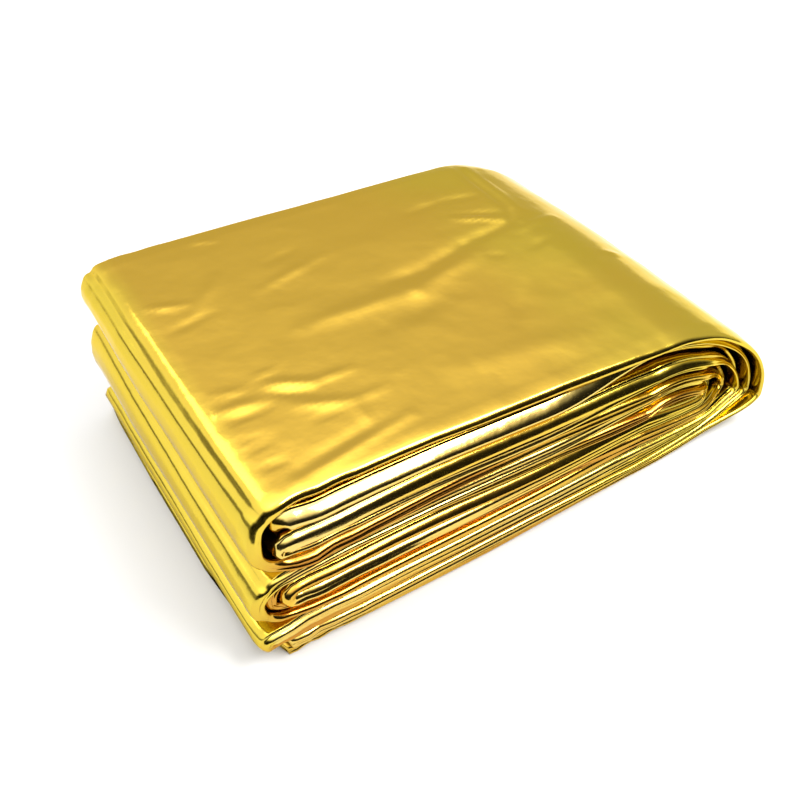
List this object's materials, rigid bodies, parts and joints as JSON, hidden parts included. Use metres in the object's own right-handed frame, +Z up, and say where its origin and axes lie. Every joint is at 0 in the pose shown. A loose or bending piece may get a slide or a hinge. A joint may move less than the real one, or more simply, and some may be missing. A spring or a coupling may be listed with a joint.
{
  "type": "emergency foil blanket",
  "caption": "Gold foil emergency blanket folded back and forth into a thick flat packet, with rounded fold ends and open layered sides.",
  "frame": {"origin": "middle of the underside, on the surface that the folded packet lies on", "axes": "+X along the packet, towards the end where the last fold turns all the layers round; +Z up, through the layers"},
  "size_m": [0.1348, 0.0871, 0.0433],
  "materials": {
    "gold_film": "polished"
  },
  "bodies": {
    "root": {"foil_blanket": "gold_film"}
  },
  "joints": []
}
